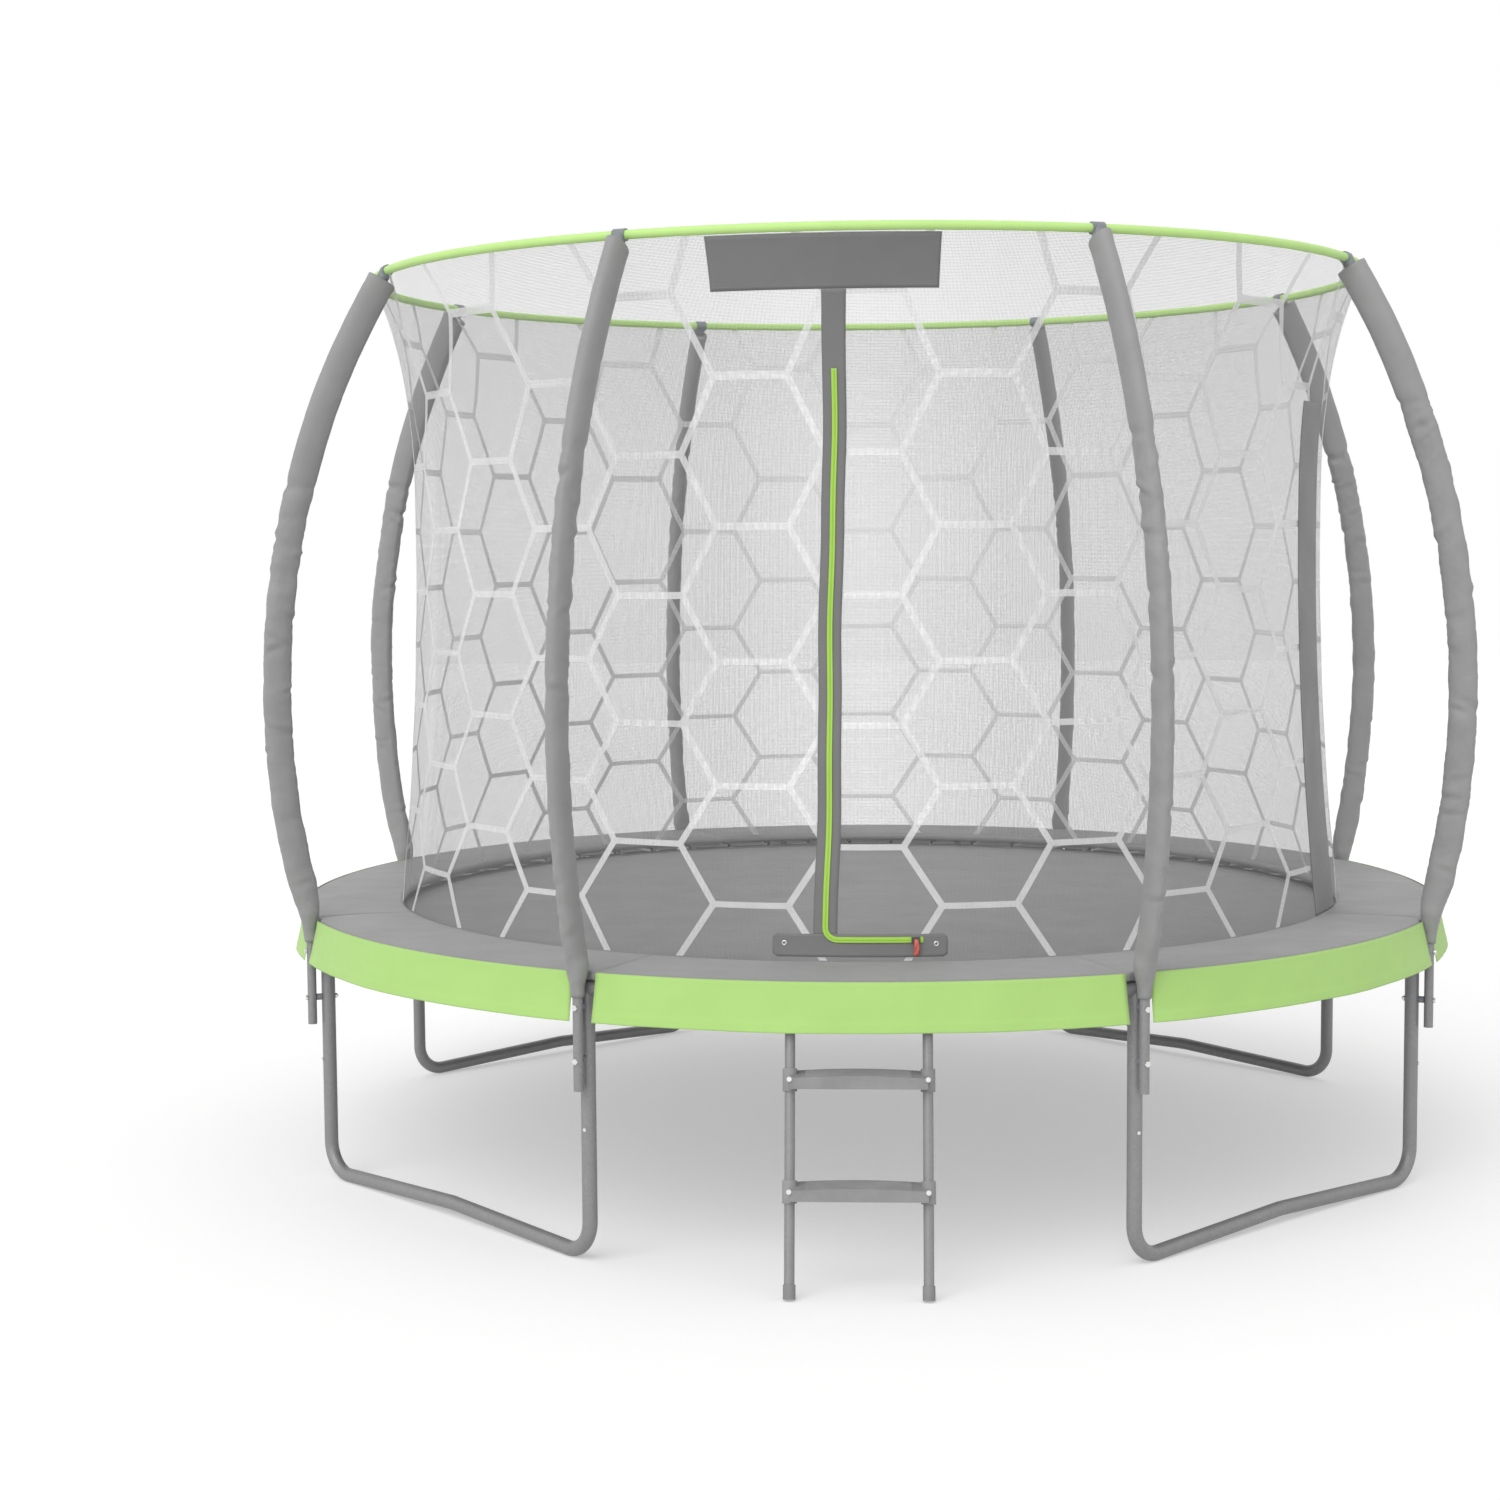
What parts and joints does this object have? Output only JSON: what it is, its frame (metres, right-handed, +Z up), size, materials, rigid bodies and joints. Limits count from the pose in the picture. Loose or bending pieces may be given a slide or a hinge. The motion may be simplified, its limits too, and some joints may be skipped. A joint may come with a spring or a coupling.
{
  "type": "trampoline",
  "caption": "Round garden trampoline with an inner zip-door safety net on outward-curved padded poles, U-shaped tube legs, spring pad with skirt, and a hook-on ladder.",
  "frame": {"origin": "on the ground, under the middle of the mat", "axes": "+Z up; the door and the ladder face -Y; +X is to the right as seen from the front"},
  "size_m": [3.4036, 3.5243, 2.5513],
  "materials": {
    "galvanised_tube": "zinc-coated round tube, satin, faint spangle",
    "pole_tube": "zinc-coated round tube, satin",
    "sleeve_cloth": "grey coated cloth over foam, matt, loose creases",
    "zinc_screw": "bright zinc-plated",
    "black_plastic": "moulded, matt",
    "fibre_rod": "pulled glass-fibre rod with steel ferrules",
    "ring_cloth": "light green cloth sleeve over foam",
    "net_mesh": "fine woven polyethylene mesh, see-through, with a pale honeycomb print",
    "banner_cloth": "grey coated cloth, matt",
    "zip_tape": "green zip tape with coil teeth",
    "zip_metal": "dark cast zip slider",
    "pull_cloth": "red ribbon pull",
    "mat_cloth": "woven polypropylene jumping cloth with a sewn hem",
    "spring_steel": "zinc-plated spring wire",
    "pad_vinyl": "grey coated cloth over foam, matt",
    "skirt_cloth": "light green coated cloth",
    "strap_elastic": "black elastic band",
    "tread_plastic": "grey moulded plastic, ribbed on top",
    "bright_rivet": "polished"
  },
  "bodies": {
    "frame": {"frame_rail_1": "galvanised_tube", "frame_rail_2": "galvanised_tube", "frame_rail_3": "galvanised_tube", "frame_rail_4": "galvanised_tube", "frame_rail_5": "galvanised_tube", "frame_rail_6": "galvanised_tube", "frame_rail_7": "galvanised_tube", "frame_rail_8": "galvanised_tube", "leg_base_1": "galvanised_tube", "leg_base_2": "galvanised_tube", "leg_base_3": "galvanised_tube", "leg_base_4": "galvanised_tube", "leg_post_1": "galvanised_tube", "leg_post_2": "galvanised_tube", "leg_post_3": "galvanised_tube", "leg_post_4": "galvanised_tube", "leg_post_5": "galvanised_tube", "leg_post_6": "galvanised_tube", "leg_post_7": "galvanised_tube", "leg_post_8": "galvanised_tube", "net_pole_1": "pole_tube", "net_pole_2": "pole_tube", "net_pole_3": "pole_tube", "net_pole_4": "pole_tube", "net_pole_5": "pole_tube", "net_pole_6": "pole_tube", "net_pole_7": "pole_tube", "net_pole_8": "pole_tube", "pole_sleeve_1": "sleeve_cloth", "pole_sleeve_2": "sleeve_cloth", "pole_sleeve_3": "sleeve_cloth", "pole_sleeve_4": "sleeve_cloth", "pole_sleeve_5": "sleeve_cloth", "pole_sleeve_6": "sleeve_cloth", "pole_sleeve_7": "sleeve_cloth", "pole_sleeve_8": "sleeve_cloth", "tube_screws": "zinc_screw", "pole_bolts": "zinc_screw", "pole_spacers": "black_plastic", "pole_caps": "black_plastic", "ring_rods": "fibre_rod", "ring_sleeve": "ring_cloth", "net": "net_mesh", "net_side_strip": "banner_cloth", "banner": "banner_cloth", "door_strip": "banner_cloth", "zip_tape": "zip_tape", "springs": "spring_steel", "safety_pad": "pad_vinyl", "pad_skirt": "skirt_cloth", "pad_straps": "strap_elastic"},
    "mat": {"mat": "mat_cloth", "mat_rings": "spring_steel"},
    "ladder": {"ladder_rails": "galvanised_tube", "ladder_hooks": "galvanised_tube", "ladder_treads": "tread_plastic", "ladder_rivets": "bright_rivet", "ladder_feet": "tread_plastic"},
    "zip_slider": {"zip_slider": "zip_metal"},
    "zip_pull": {"zip_pull": "pull_cloth"}
  },
  "joints": [
    {"name": "mat_dip", "type": "slide", "parent": "frame", "child": "mat", "axis": [0, 0, 1], "range_m": [-0.15, 0], "stiffness_N_per_m": 4000, "springref_m": 0.03, "deforming": ["springs"]},
    {"name": "ladder_swing", "type": "hinge", "parent": "frame", "child": "ladder", "pos_m": [0, -1.6368, 0.69], "axis": [-1, 0, 0], "range_deg": [0, 10]},
    {"name": "zip_run", "type": "hinge", "parent": "frame", "child": "zip_slider", "pos_m": [0, 0, 0.7903], "axis": [0, 0, 1], "range_deg": [-8.5, 0]},
    {"name": "zip_pull_swing", "type": "hinge", "parent": "zip_slider", "child": "zip_pull", "pos_m": [0.13922, -1.39483, 0.7903], "axis": [-0.9951, -0.0993, 0], "range_deg": [0, 150]}
  ]
}
